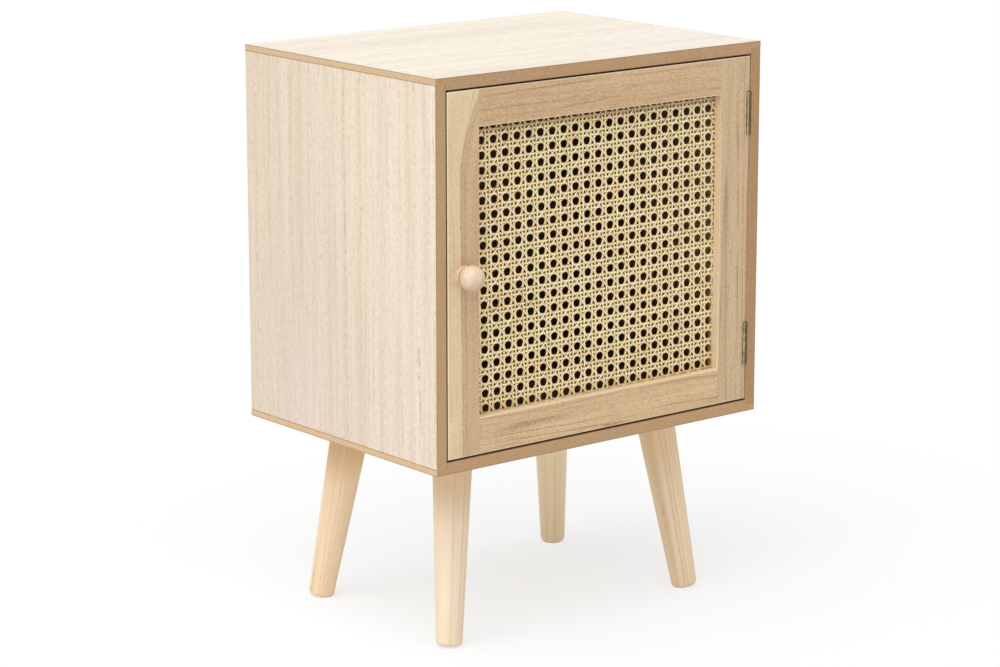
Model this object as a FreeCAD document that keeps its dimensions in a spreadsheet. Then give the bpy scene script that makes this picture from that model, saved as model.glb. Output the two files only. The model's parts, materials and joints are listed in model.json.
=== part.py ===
"""A one-door bedside cabinet on four splayed legs, with a woven cane panel in its framed door.

Millimetres, +Z up. The floor is Z = 0, the door faces -Y, and the origin lies on the floor under the
middle of the whole outline, the knob included.
"""

import FreeCAD
import Part
import Sketcher
import math
import os
import re

# Driving sizes, in millimetres

SIZES = {
    # Carcass
    "width": 400,
    "depth": 296,
    "carcass_height": 368,
    "leg_height": 184,
    "board": 12,
    "lap": 6,
    "back_thick": 3,
    "back_rebate": 6,
    "back_inset": 1,
    # Door frame
    "door_gap": 1.5,
    "door_thick": 15,
    "stile_width": 37,
    "rail_width": 35,
    "lip": 8.5,
    "tenon_long": 15,
    "tenon_thick": 5,
    "tenon_shoulder": 5,
    "tenon_set": 2,
    # Cane panel and the beads that hold it
    "cane_grip": 8,
    "cane_thick": 1.6,
    "cane_pitch": 16.6,
    "cane_hole": 8.8,
    # Legs and their bolts
    "leg_top": 39,
    "leg_foot": 25,
    "leg_spread": 24,
    "leg_inset_side": 73,
    "leg_inset_front": 69,
    "foot_round": 4,
    "foot_rise": 0.7,
    "bolt": 8,
    "bolt_deep": 36,
    "nut_barrel": 10,
    "nut_barrel_long": 9,
    "nut_flange": 22,
    "nut_flange_thick": 1.5,
    # Knob
    "knob": 24,
    "knob_centre": 12.5,
    "knob_base": 20,
    "knob_base_thick": 3.5,
    "knob_round": 1,
    "knob_screw": 4,
    "knob_screw_bite": 14,
    "knob_screw_head": 8,
    "knob_screw_head_thick": 2.4,
    # Butt hinges
    "hinge_long": 43,
    "hinge_inset": 69.5,
    "hinge_leaf": 12,
    "hinge_leaf_thick": 1.2,
    "hinge_barrel": 4,
    "hinge_pin": 2,
    "hinge_screw": 2.6,
    "hinge_screw_head": 4.6,
    "hinge_screw_long": 9,
    "hinge_screw_spacing": 24,
    # Magnetic catch
    "catch_inset": 24,
    "catch_long": 44,
    "catch_body": 26,
    "catch_deep": 13,
    "catch_high": 12,
    "catch_flange": 2.5,
    "magnet_long": 20,
    "magnet_deep": 10,
    "magnet_thick": 5,
    "pole_thick": 1,
    "pole_proud": 0.6,
    "strike_long": 24,
    "strike_high": 9,
    "strike_thick": 1.2,
    "catch_screw": 3,
    "catch_screw_head": 5.6,
    "catch_screw_head_thick": 1.8,
    "catch_screw_long": 10,
    "strike_screw_long": 7,
    # Brads of the back panel
    "brad": 1.4,
    "brad_head": 3,
    "brad_head_thick": 0.7,
    "brad_bite": 12,
    # Clearances
    "joint_clear": 0.1,
    "panel_clear": 0.3,
    "swing_clear": 0.3,
    "pin_clear": 0.05,
}

# Counts, a leg's lean before the sheet sets it, and a hair's breadth

KNUCKLES = 5
SIDE_BRADS = 4
END_BRADS = 3
LEAN_START = 10
HAIR = 0.001

# Places worked out from the sizes

PLACES = {
    "knob_reach": "knob_centre + knob / 2",
    "front": "-(depth - knob_reach) / 2",
    "back": "front + depth",
    "under": "leg_height",
    "top": "leg_height + carcass_height",
    "left": "-width / 2",
    "inner_left": "board - width / 2",
    "inner_right": "width / 2 - board",
    "inner_width": "width - 2 * board",
    "inner_bottom": "leg_height + board",
    "inner_top": "top - board",
    "back_face": "back - back_inset - back_thick",
    "door_left": "inner_left + door_gap",
    "door_right": "inner_right - door_gap",
    "door_bottom": "inner_bottom + door_gap",
    "door_top": "inner_top - door_gap",
    "door_high": "door_top - door_bottom",
    "door_back": "front + door_thick",
    "open_left": "door_left + stile_width",
    "open_right": "door_right - stile_width",
    "open_bottom": "door_bottom + rail_width",
    "open_top": "door_top - rail_width",
    "open_width": "open_right - open_left",
    "open_high": "open_top - open_bottom",
    "cane_front": "front + lip",
    "bead_front": "cane_front + cane_thick",
    "bead_thick": "door_back - bead_front",
    "knob_x": "door_left + stile_width / 2",
    "knob_z": "(door_bottom + door_top) / 2",
    "hinge_x": "door_right - hinge_leaf_thick - 2 * joint_clear",
    "hinge_y": "front",
    "leaf_start": "hinge_y + hinge_barrel / 2 + swing_clear",
    "leaf_end": "front + hinge_leaf",
    "leaf_screw_y": "(leaf_start + leaf_end) / 2",
    "knuckle": f"hinge_long / {KNUCKLES}",
    "catch_x": "door_left + catch_inset",
    "catch_y": "strike_back + swing_clear + pole_proud",
    "catch_z": "inner_top - (catch_high + catch_flange) / 2",
    "strike_back": "door_back + strike_thick",
    "sideways": "leg_spread * sqrt(2)",
    "leg_long": "sqrt((leg_height - foot_rise)^2 + sideways^2)",
    "turned_long": "leg_long + leg_top / 2",
    "turned_head": "leg_foot + (leg_top - leg_foot) * turned_long / leg_long",
}

doc = FreeCAD.newDocument("bedside_cabinet")
sheet = doc.addObject("Spreadsheet::Sheet", "Sizes")
for row, (alias, number) in enumerate(SIZES.items(), start=1):
    sheet.set(f"A{row}", alias)
    sheet.set(f"B{row}", str(number))
    sheet.setAlias(f"B{row}", alias)
doc.recompute()

sub_parts = []
WORD = re.compile(r"[a-z][a-z_]*")
FUNCTIONS = ("sqrt",)
ALONG = {
    "x": FreeCAD.Rotation(FreeCAD.Vector(0, 1, 0), 90),
    "-x": FreeCAD.Rotation(FreeCAD.Vector(0, 1, 0), -90),
    "y": FreeCAD.Rotation(FreeCAD.Vector(1, 0, 0), -90),
    "-y": FreeCAD.Rotation(FreeCAD.Vector(1, 0, 0), 90),
    "z": FreeCAD.Rotation(),
}


# Helpers that bind shapes to the sheet


def formula(words):
    """Spell a formula with the sheet's cells: places are opened up, and sizes get the sheet's name."""

    def spell(match):
        name = match.group(0)
        if name in PLACES:
            return f"({formula(PLACES[name])})"
        return name if name in FUNCTIONS else f"Sizes.{name}"

    return WORD.sub(spell, words)


def bind(item, **properties):
    """Tie an object's properties to formulas."""
    for name, words in properties.items():
        item.setExpression(name, formula(words))
    return item


def place(item, spot, turn=None):
    """Put an object's own origin at a spot that is given as three formulas."""
    if turn is not None:
        item.Placement = FreeCAD.Placement(FreeCAD.Vector(), turn)
    for axis, words in zip("xyz", spot):
        item.setExpression(f"Placement.Base.{axis}", formula(words))
    return item


def block(name, corner, lengths):
    """A rectangular block from its lowest corner and its lengths along X, Y and Z."""
    item = doc.addObject("Part::Box", name)
    bind(item, Length=lengths[0], Width=lengths[1], Height=lengths[2])
    return place(item, corner)


def rod(name, axis, start, diameter, length):
    """A round rod from the middle of its first end."""
    item = doc.addObject("Part::Cylinder", name)
    bind(item, Radius=f"({diameter}) / 2", Height=length)
    return place(item, start, ALONG[axis])


def taper(name, axis, start, first, last, length):
    """A round taper from its first diameter to its last one."""
    item = doc.addObject("Part::Cone", name)
    bind(item, Radius1=f"({first}) / 2", Radius2=f"({last}) / 2", Height=length)
    return place(item, start, ALONG[axis])


def join(name, *items):
    """Several overlapping or touching shapes as one."""
    item = doc.addObject("Part::MultiFuse", name)
    item.Shapes = list(items)
    item.Refine = True
    return item


def cut(name, base, *cutters):
    """A shape with cutters taken out of it."""
    item = doc.addObject("Part::Cut", name)
    item.Base = base
    item.Tool = cutters[0] if len(cutters) == 1 else join(f"{name}_cutters", *cutters)
    item.Refine = True
    return item


def group(name, items):
    """Identical loose pieces, kept as separate solids."""
    item = doc.addObject("Part::Compound", name)
    item.Links = list(items)
    return item


def keep(label, item):
    """Make an object a sub-part of the cabinet, under the name of its file."""
    item.Label = label
    sub_parts.append(item)
    return item


def number(alias):
    """A size as a plain number, for shapes that code draws."""
    return float(sheet.get(alias))


def sketch_on(body, role, name):
    """A sketch on one of a body's own origin planes."""
    plane = next(item for item in body.Origin.OriginFeatures if item.Role == role)
    sketch = body.newObject("Sketcher::SketchObject", name)
    sketch.AttachmentSupport = [(plane, "")]
    sketch.MapMode = "FlatFace"
    return sketch


def circle_sketch(body, name, diameter, role):
    """A sketch of one circle about its body's origin."""
    sketch = sketch_on(body, role, name)
    sketch.addGeometry(Part.Circle(FreeCAD.Vector(), FreeCAD.Vector(0, 0, 1), 10), False)
    sketch.addConstraint(Sketcher.Constraint("Coincident", 0, 3, -1, 1))
    bound = sketch.addConstraint(Sketcher.Constraint("Diameter", 0, 20))
    sketch.setExpression(f"Constraints[{bound}]", formula(diameter))
    return sketch


def edges_at(feature, test):
    """Names of a feature's edges whose bounding box passes a test."""
    edges = enumerate(feature.Shape.Edges, start=1)
    return [f"Edge{index}" for index, edge in edges if test(edge.BoundBox)]


def screw(name, axis, seat, diameter, length, head, head_deep):
    """A countersunk wood screw. Its seat is the middle of its flush head, and its axis points inwards."""
    shank = rod(f"{name}_shank", axis, seat, diameter, length)
    cone = taper(f"{name}_head", axis, seat, head, diameter, head_deep)
    return join(name, shank, cone)


# Carcass: a top and a bottom that lap over two sides, and a thin back in a rebate all round


def brad_places():
    """X and Z of each back-panel brad, as formulas, with the board that it bites."""
    for side, x in (("left", "inner_left - back_rebate / 2"), ("right", "inner_right + back_rebate / 2")):
        for n in range(SIDE_BRADS):
            share = (n + 0.5) / SIDE_BRADS
            yield side, x, f"inner_bottom + (inner_top - inner_bottom) * {share}"
    for end, z in (("bottom", "inner_bottom - back_rebate / 2"), ("top", "inner_top + back_rebate / 2")):
        for n in range(END_BRADS):
            share = (n + 0.5) / END_BRADS
            yield end, f"inner_left + inner_width * {share}", z


def brad_holes(board, name):
    """Pilot holes in one board, or through the back panel, for the brads."""
    holes = []
    for n, (bitten, x, z) in enumerate(brad_places()):
        if board in (bitten, "back"):
            deep = "brad_bite + back_thick + joint_clear"
            start = (x, "back_face - brad_bite - joint_clear", z)
            holes.append(rod(f"{name}_brad_hole_{n}", "y", start, "brad + joint_clear", deep))
    return holes


def leg_tops():
    """Names and top centres of the legs, with the way each one splays."""
    for row, y, out_y in (("front", "front + leg_inset_front", -1), ("back", "back - leg_inset_front", 1)):
        for side, x, out_x in (("left", "left + leg_inset_side", -1), ("right", "-left - leg_inset_side", 1)):
            yield f"{row}_{side}", x, y, out_x, out_y


def lapped_board(name, low, lap_low, rebate_low, *holes):
    """The top or the bottom: full width and depth, with a lap over each side and a rebate for the back."""
    blank = block(f"{name}_blank", ("left", "front", low), ("width", "depth", "board"))
    laps = [
        block(f"{name}_lap_{n}", (x, "front", lap_low), ("board", "depth", "board - lap"))
        for n, x in enumerate(("left", "inner_right"))
    ]
    rebate = block(
        f"{name}_rebate",
        ("inner_left - back_rebate", "back_face", rebate_low),
        ("inner_width + 2 * back_rebate", "back - back_face", "back_rebate"),
    )
    return keep(name, cut(f"{name}_cut", blank, *laps, rebate, *holes))


def side_board(name, x, rebate_x, *holes):
    """A side, housed in the laps of the top and the bottom, with a rebate for the back."""
    span = ("board", "depth", "carcass_height - 2 * lap")
    blank = block(f"{name}_blank", (x, "front", "under + lap"), span)
    rebate = block(
        f"{name}_rebate",
        (rebate_x, "back_face", "under + lap"),
        ("back_rebate", "back - back_face", "carcass_height - 2 * lap"),
    )
    return keep(name, cut(f"{name}_cut", blank, rebate, *holes))


def back_panel():
    """The thin back, nailed into its rebate from behind."""
    margin = "(back_rebate - panel_clear)"
    blank = block(
        "back_blank",
        (f"inner_left - {margin}", "back_face", f"inner_bottom - {margin}"),
        (f"inner_width + 2 * {margin}", "back_thick", f"inner_top - inner_bottom + 2 * {margin}"),
    )
    keep("back_panel", cut("back_cut", blank, *brad_holes("back", "back")))
    brads = []
    for n, (_, x, z) in enumerate(brad_places()):
        shank = rod(f"brad_shank_{n}", "-y", (x, "back - back_inset", z), "brad", "brad_bite + back_thick")
        head = rod(f"brad_head_{n}", "y", (x, "back - back_inset", z), "brad_head", "brad_head_thick")
        brads.append(join(f"brad_{n}", shank, head))
    keep("back_panel_brads", group("brads", brads))


# Legs: tapered turnings that splay along the diagonals, cut level under the box and on the floor


def leg_turning(name, x, y, out_x, out_y):
    """A leg as it leaves the lathe, on its own leaning axis, with a rounded square-cut foot."""
    body = doc.addObject("PartDesign::Body", f"turning_{name}")
    place(body, (f"{x} + ({out_x}) * leg_spread", f"{y} + ({out_y}) * leg_spread", "foot_rise"))
    body.Placement = FreeCAD.Placement(
        FreeCAD.Vector(), FreeCAD.Rotation(FreeCAD.Vector(out_y, -out_x, 0), LEAN_START)
    )
    body.setExpression("Placement.Rotation.Angle", f"atan({formula('sideways / (leg_height - foot_rise)')})")
    profile = sketch_on(body, "XZ_Plane", f"leg_profile_{name}")
    foot, head, long = number("leg_foot") / 2, number("leg_top") / 2, number("leg_height")
    corners = [FreeCAD.Vector(x, z, 0) for x, z in ((0, 0), (foot, 0), (head, long), (0, long))]
    for n in range(4):
        profile.addGeometry(Part.LineSegment(corners[n], corners[(n + 1) % 4]), False)
    for n in range(4):
        profile.addConstraint(Sketcher.Constraint("Coincident", n, 2, (n + 1) % 4, 1))
    profile.addConstraint(Sketcher.Constraint("Coincident", 0, 1, -1, 1))
    profile.addConstraint(Sketcher.Constraint("Horizontal", 0))
    profile.addConstraint(Sketcher.Constraint("Horizontal", 2))
    profile.addConstraint(Sketcher.Constraint("Vertical", 3))
    for kind, ends, value, words in (
        ("DistanceX", (0, 1, 0, 2), foot, "leg_foot / 2"),
        ("DistanceX", (2, 2, 2, 1), head, "turned_head / 2"),
        ("DistanceY", (3, 2, 3, 1), long, "turned_long"),
    ):
        bound = profile.addConstraint(Sketcher.Constraint(kind, *ends, value))
        profile.setExpression(f"Constraints[{bound}]", formula(words))
    turned = body.newObject("PartDesign::Revolution", f"leg_turned_{name}")
    turned.Profile = profile
    turned.ReferenceAxis = (profile, ["V_Axis"])
    turned.Angle = 360
    doc.recompute()
    rounded = body.newObject("PartDesign::Fillet", f"leg_rounded_{name}")
    rounded.Base = (turned, edges_at(turned, lambda box: box.ZMax < HAIR))
    bind(rounded, Radius="foot_round")
    return body


def leg(name, x, y, out_x, out_y):
    """One leg: its turning, cut level at the underside and at the floor, and bored for its bolt."""
    span = ("2 * leg_top", "2 * leg_top", "leg_top")
    above = block(f"leg_above_{name}", (f"{x} - leg_top", f"{y} - leg_top", "under"), span)
    foot_x, foot_y = f"{x} + ({out_x}) * leg_spread", f"{y} + ({out_y}) * leg_spread"
    below = block(f"leg_below_{name}", (f"{foot_x} - leg_top", f"{foot_y} - leg_top", "-leg_top"), span)
    bore = rod(
        f"leg_bore_{name}",
        "z",
        (x, y, "under - bolt_deep - joint_clear"),
        "bolt + 2 * joint_clear",
        "bolt_deep + joint_clear",
    )
    turning = leg_turning(name, x, y, out_x, out_y)
    keep(f"leg_{name}", cut(f"leg_cut_{name}", turning, above, below, bore))


def leg_fixings():
    """Hanger bolts that stand up out of the legs, and the tee nuts that they screw into."""
    for name, x, y, _, _ in leg_tops():
        start = (x, y, "under - bolt_deep")
        keep(f"leg_bolt_{name}", rod(f"bolt_{name}", "z", start, "bolt", "bolt_deep + board"))
    nuts = []
    for name, x, y, _, _ in leg_tops():
        flange = rod(f"nut_flange_{name}", "z", (x, y, "inner_bottom"), "nut_flange", "nut_flange_thick")
        low = (x, y, "inner_bottom - nut_barrel_long")
        barrel = rod(f"nut_barrel_{name}", "z", low, "nut_barrel", "nut_barrel_long")
        through = "nut_barrel_long + nut_flange_thick"
        bore = rod(f"nut_bore_{name}", "z", low, "bolt + 2 * joint_clear", through)
        nuts.append(cut(f"nut_{name}", join(f"nut_blank_{name}", flange, barrel), bore))
    keep("leg_tee_nuts", group("tee_nuts", nuts))


def nut_holes():
    """Holes through the bottom for the tee nuts' barrels."""
    return [
        rod(f"nut_hole_{name}", "z", (x, y, "under"), "nut_barrel + 2 * joint_clear", "board")
        for name, x, y, _, _ in leg_tops()
    ]


# Door frame: two full-height stiles, two rails on stub tenons, and a rebate behind for the cane


def rail(name, low, rebate_low):
    """A rail with a stub tenon at each end and the rebate for the cane along its inner edge."""
    blank = block(f"{name}_blank", ("open_left", "front", low), ("open_width", "door_thick", "rail_width"))
    tongue = block(
        f"{name}_tongue",
        ("open_left - tenon_long", "front + tenon_set", f"{low} + tenon_shoulder"),
        ("open_width + 2 * tenon_long", "tenon_thick", "rail_width - 2 * tenon_shoulder"),
    )
    rebate = block(
        f"{name}_rebate",
        ("open_left", "cane_front", rebate_low),
        ("open_width", "door_thick - lip", "cane_grip"),
    )
    keep(name, cut(f"{name}_cut", join(f"{name}_tenoned", blank, tongue), rebate))


def stile(name, x, inner_x, mortise_x, *holes):
    """A stile with a mortise for each rail and a stopped rebate for the cane behind its inner edge."""
    blank = block(f"{name}_blank", (x, "front", "door_bottom"), ("stile_width", "door_thick", "door_high"))
    rebate = block(
        f"{name}_rebate",
        (inner_x, "cane_front", "open_bottom - cane_grip"),
        ("cane_grip", "door_thick - lip", "open_high + 2 * cane_grip"),
    )
    mortises = [
        block(
            f"{name}_mortise_{n}",
            (mortise_x, "front + tenon_set - joint_clear", f"{low} + tenon_shoulder - joint_clear"),
            (
                "tenon_long + joint_clear",
                "tenon_thick + 2 * joint_clear",
                "rail_width - 2 * tenon_shoulder + 2 * joint_clear",
            ),
        )
        for n, low in enumerate(("door_bottom", "open_top"))
    ]
    keep(name, cut(f"{name}_cut", blank, rebate, *mortises, *holes))


def beads():
    """Four strips that press the cane into its rebate from behind, flush with the back of the frame."""
    reach = "(cane_grip - joint_clear)"
    for name, low in (("cane_bead_bottom", f"open_bottom - {reach}"), ("cane_bead_top", "open_top")):
        corner = (f"open_left - {reach}", "bead_front", low)
        keep(name, block(f"{name}_strip", corner, (f"open_width + 2 * {reach}", "bead_thick", reach)))
    for name, x in (("cane_bead_left", f"open_left - {reach}"), ("cane_bead_right", "open_right")):
        corner = (x, "bead_front", "open_bottom")
        keep(name, block(f"{name}_strip", corner, (reach, "bead_thick", "open_high")))


def cane_panel():
    """The woven panel as one sheet with the eight-sided holes of open cane, plain where the beads hold it."""
    reach = number("cane_grip") - number("joint_clear")
    pitch = number("cane_pitch")
    wide = number("width") - 2 * (number("board") + number("door_gap") + number("stile_width"))
    high = number("carcass_height") - 2 * (number("board") + number("door_gap") + number("rail_width"))
    corner_radius = number("cane_hole") / 2 / math.cos(math.pi / 8)
    outline = Part.makePolygon(
        [
            FreeCAD.Vector(right * (wide / 2 + reach), 0, up * (high / 2 + reach))
            for right, up in ((-1, -1), (1, -1), (1, 1), (-1, 1), (-1, -1))
        ]
    )
    columns = int(wide / pitch)
    rows = int(high / pitch)
    holes = []
    for column in range(columns):
        for row in range(rows):
            x = (column - (columns - 1) / 2) * pitch
            z = (row - (rows - 1) / 2) * pitch
            turns = [math.pi / 8 + corner * math.pi / 4 for corner in range(9)]
            corners = [
                FreeCAD.Vector(x + corner_radius * math.cos(turn), 0, z + corner_radius * math.sin(turn))
                for turn in turns
            ]
            holes.append(Part.makePolygon(corners))
    net = Part.makeFace([outline, *holes], "Part::FaceMakerBullseye")
    panel = doc.addObject("Part::Feature", "cane_net")
    panel.Shape = net.extrude(FreeCAD.Vector(0, number("cane_thick"), 0))
    place(panel, ("0", "cane_front", "(open_bottom + open_top) / 2"))
    print("cane holes", columns, "by", rows)
    keep("cane_panel", panel)


# Knob: a turned ball on a flange, held by a screw from behind


def knob():
    """The turned knob, revolved about its own axis, which points out of the door."""
    body = doc.addObject("PartDesign::Body", "knob_body")
    place(body, ("knob_x", "front", "knob_z"))
    profile = sketch_on(body, "XY_Plane", "knob_profile")
    centre, radius = number("knob_centre"), number("knob") / 2
    flange, thick = number("knob_base") / 2, number("knob_base_thick")
    neck = math.sqrt(radius**2 - (centre - thick) ** 2)
    points = [(0, 0), (flange, 0), (flange, -thick), (neck, -thick), (0, -centre - radius)]
    spots = [FreeCAD.Vector(x, y, 0) for x, y in points]
    for start, end in ((0, 1), (1, 2), (2, 3)):
        profile.addGeometry(Part.LineSegment(spots[start], spots[end]), False)
    ball = Part.Circle(FreeCAD.Vector(0, -centre, 0), FreeCAD.Vector(0, 0, 1), radius)
    turn = math.atan2(centre - thick, neck)
    profile.addGeometry(Part.ArcOfCircle(ball, -math.pi / 2, turn), False)
    profile.addGeometry(Part.LineSegment(spots[4], spots[0]), False)
    for first, first_end, second, second_end in (
        (0, 2, 1, 1),
        (1, 2, 2, 1),
        (2, 2, 3, 2),
        (3, 1, 4, 1),
        (4, 2, 0, 1),
    ):
        profile.addConstraint(Sketcher.Constraint("Coincident", first, first_end, second, second_end))
    profile.addConstraint(Sketcher.Constraint("Coincident", 0, 1, -1, 1))
    profile.addConstraint(Sketcher.Constraint("Horizontal", 0))
    profile.addConstraint(Sketcher.Constraint("Vertical", 1))
    profile.addConstraint(Sketcher.Constraint("Horizontal", 2))
    profile.addConstraint(Sketcher.Constraint("Vertical", 4))
    profile.addConstraint(Sketcher.Constraint("PointOnObject", 3, 3, -2))
    for kind, where, value, words in (
        ("DistanceX", (0, 1, 0, 2), flange, "knob_base / 2"),
        ("DistanceY", (1, 2, 1, 1), thick, "knob_base_thick"),
        ("Radius", (3,), radius, "knob / 2"),
        ("DistanceY", (3, 3, 0, 1), centre, "knob_centre"),
    ):
        bound = profile.addConstraint(Sketcher.Constraint(kind, *where, value))
        profile.setExpression(f"Constraints[{bound}]", formula(words))
    turned = body.newObject("PartDesign::Revolution", "knob_turned")
    turned.Profile = profile
    turned.ReferenceAxis = (profile, ["V_Axis"])
    turned.Angle = 360
    doc.recompute()
    rim = body.newObject("PartDesign::Fillet", "knob_rim")
    rim_edges = edges_at(turned, lambda box: box.XMax > flange - HAIR and abs(box.YMax + thick) < HAIR)
    rim.Base = (turned, rim_edges)
    bind(rim, Radius="knob_round")
    doc.recompute()
    circle = circle_sketch(body, "knob_bore_circle", "knob_screw + 2 * joint_clear", "XZ_Plane")
    bore = body.newObject("PartDesign::Pocket", "knob_bore")
    bore.Profile = circle
    bore.Reversed = True
    bind(bore, Length="knob_screw_bite + joint_clear")
    keep("knob", body)
    seat = ("knob_x", "door_back", "knob_z")
    shank = rod("knob_screw_shank", "-y", seat, "knob_screw", "door_thick + knob_screw_bite")
    head = rod("knob_screw_top", "y", seat, "knob_screw_head", "knob_screw_head_thick")
    keep("knob_screw", join("knob_screw_whole", shank, head))


def knob_hole():
    """The hole through the pull stile for the knob's screw."""
    start = ("knob_x", "front", "knob_z")
    return rod("knob_hole", "y", start, "knob_screw + 4 * joint_clear", "door_thick")


# Butt hinges: a leaf let into the side, a leaf let into the stile, and a pin through the knuckles

HINGES = {"upper": "top - hinge_inset", "lower": "under + hinge_inset"}
LEAVES = {
    # Leaf name: its first knuckle, the X of its face, the X where its plate starts, and its screws' way
    "side": (0, "inner_right", "inner_right", "x"),
    "door": (1, "door_right", "door_right - hinge_leaf_thick", "-x"),
}


def hinge_screw_places(middle):
    """Heights of a leaf's two screws."""
    return [f"{middle} + ({way}) * hinge_screw_spacing / 2" for way in (-1, 1)]


def hinge_leaf(hinge, leaf):
    """A leaf: its plate, knuckles with a strap to each, an arm across the gap, its bore and screw holes."""
    middle = HINGES[hinge]
    first, face, plate_x, way = LEAVES[leaf]
    name = f"hinge_{hinge}_{leaf}_leaf"
    low = f"{middle} - hinge_long / 2"
    pieces = [
        block(
            f"{name}_plate",
            (plate_x, "leaf_start", low),
            ("hinge_leaf_thick", "leaf_end - leaf_start", "hinge_long"),
        )
    ]
    for knuckle in range(first, KNUCKLES, 2):
        start = f"{low} + {knuckle} * knuckle + joint_clear"
        high = "knuckle - 2 * joint_clear"
        centre = ("hinge_x", "hinge_y", start)
        pieces.append(rod(f"{name}_knuckle_{knuckle}", "z", centre, "hinge_barrel", high))
        strap = ("hinge_leaf_thick", "leaf_start - front", high)
        pieces.append(block(f"{name}_strap_{knuckle}", (plate_x, "front", start), strap))
        if leaf == "side":
            arm = ("inner_right + hinge_leaf_thick - hinge_x", "hinge_leaf_thick", high)
            pieces.append(block(f"{name}_arm_{knuckle}", ("hinge_x", "front", start), arm))
    bore = rod(f"{name}_bore", "z", ("hinge_x", "hinge_y", low), "hinge_pin + 2 * pin_clear", "hinge_long")
    sinks = []
    for n, z in enumerate(hinge_screw_places(middle)):
        seat = (face, "leaf_screw_y", z)
        wide = "hinge_screw_head + 2 * joint_clear"
        narrow = "hinge_screw + 2 * joint_clear"
        sinks.append(taper(f"{name}_sink_{n}", way, seat, wide, narrow, "hinge_leaf_thick"))
    keep(name, cut(f"{name}_cut", join(f"{name}_blank", *pieces), bore, *sinks))


def hinge_recesses(leaf):
    """What a side or a stile loses to a leaf: its bed, screw holes, and in the stile room for the barrel."""
    _, _, plate_x, way = LEAVES[leaf]
    bed_back = "inner_right + hinge_leaf_thick" if leaf == "side" else "door_right - hinge_leaf_thick"
    cutters = []
    for hinge, middle in HINGES.items():
        name = f"{hinge}_{leaf}_recess"
        low = f"{middle} - hinge_long / 2 - joint_clear"
        high = "hinge_long + 2 * joint_clear"
        bed = ("hinge_leaf_thick", "leaf_end - front + joint_clear", high)
        cutters.append(block(f"{name}_bed", (plate_x, "front", low), bed))
        if leaf == "door":
            room = "hinge_barrel + 2 * swing_clear"
            cutters.append(rod(f"{name}_room", "z", ("hinge_x", "hinge_y", low), room, high))
        for n, z in enumerate(hinge_screw_places(middle)):
            start = (bed_back, "leaf_screw_y", z)
            deep = "hinge_screw_long - hinge_leaf_thick + joint_clear"
            cutters.append(rod(f"{name}_pilot_{n}", way, start, "hinge_screw + 2 * joint_clear", deep))
    return cutters


def hinge_hardware():
    """The leaves, pins and screws of both hinges."""
    for hinge, middle in HINGES.items():
        for leaf in LEAVES:
            hinge_leaf(hinge, leaf)
        start = ("hinge_x", "hinge_y", f"{middle} - hinge_long / 2")
        keep(f"hinge_{hinge}_pin", rod(f"{hinge}_pin", "z", start, "hinge_pin", "hinge_long"))
    for leaf, (_, face, _, way) in LEAVES.items():
        screws = [
            screw(
                f"{hinge}_{leaf}_screw_{n}",
                way,
                (face, "leaf_screw_y", z),
                "hinge_screw",
                "hinge_screw_long",
                "hinge_screw_head",
                "hinge_leaf_thick",
            )
            for hinge, middle in HINGES.items()
            for n, z in enumerate(hinge_screw_places(middle))
        ]
        keep(f"hinge_{leaf}_screws", group(f"{leaf}_leaf_screws", screws))


# Magnetic catch under the top, and its strike plate on the back of the pull stile


def catch_screw_places():
    """X of the catch's two screws, through the ears of its flange."""
    return [f"catch_x + ({way}) * (catch_long + catch_body) / 4" for way in (-1, 1)]


def catch():
    """The catch's housing, its magnet between two steel pole plates, and its screws."""
    flange = block(
        "catch_flange_plate",
        ("catch_x - catch_long / 2", "catch_y", "inner_top - catch_flange"),
        ("catch_long", "catch_deep", "catch_flange"),
    )
    body = block(
        "catch_body_block",
        ("catch_x - catch_body / 2", "catch_y", "inner_top - catch_high"),
        ("catch_body", "catch_deep", "catch_high"),
    )
    stack = "(magnet_thick + 2 * pole_thick)"
    pocket = block(
        "catch_pocket",
        ("catch_x - magnet_long / 2 - joint_clear", "catch_y", f"catch_z - {stack} / 2 - joint_clear"),
        ("magnet_long + 2 * joint_clear", "magnet_deep + joint_clear", f"{stack} + 2 * joint_clear"),
    )
    holes = [
        rod(
            f"catch_ear_hole_{n}",
            "z",
            (x, "catch_y + catch_deep / 2", "inner_top - catch_flange"),
            "catch_screw + 4 * joint_clear",
            "catch_flange",
        )
        for n, x in enumerate(catch_screw_places())
    ]
    keep("catch_housing", cut("catch_housing_cut", join("catch_blank", flange, body), pocket, *holes))
    magnet = ("catch_x - magnet_long / 2", "catch_y", "catch_z - magnet_thick / 2")
    keep("catch_magnet", block("catch_magnet_block", magnet, ("magnet_long", "magnet_deep", "magnet_thick")))
    poles = [
        block(
            f"catch_pole_{n}",
            ("catch_x - magnet_long / 2", "catch_y - pole_proud", z),
            ("magnet_long", "magnet_deep + pole_proud", "pole_thick"),
        )
        for n, z in enumerate(("catch_z - magnet_thick / 2 - pole_thick", "catch_z + magnet_thick / 2"))
    ]
    keep("catch_pole_plates", group("catch_poles", poles))
    screws = []
    for n, x in enumerate(catch_screw_places()):
        seat = (x, "catch_y + catch_deep / 2", "inner_top - catch_flange")
        shank = rod(f"catch_screw_shank_{n}", "z", seat, "catch_screw", "catch_screw_long")
        below = (seat[0], seat[1], f"{seat[2]} - catch_screw_head_thick")
        head = rod(f"catch_screw_top_{n}", "z", below, "catch_screw_head", "catch_screw_head_thick")
        screws.append(join(f"catch_screw_{n}", shank, head))
    keep("catch_screws", group("catch_screw_pair", screws))


def catch_pilots():
    """Pilot holes in the top for the catch's screws."""
    return [
        rod(
            f"catch_pilot_{n}",
            "z",
            (x, "catch_y + catch_deep / 2", "inner_top"),
            "catch_screw + 2 * joint_clear",
            "catch_screw_long - catch_flange + joint_clear",
        )
        for n, x in enumerate(catch_screw_places())
    ]


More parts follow.
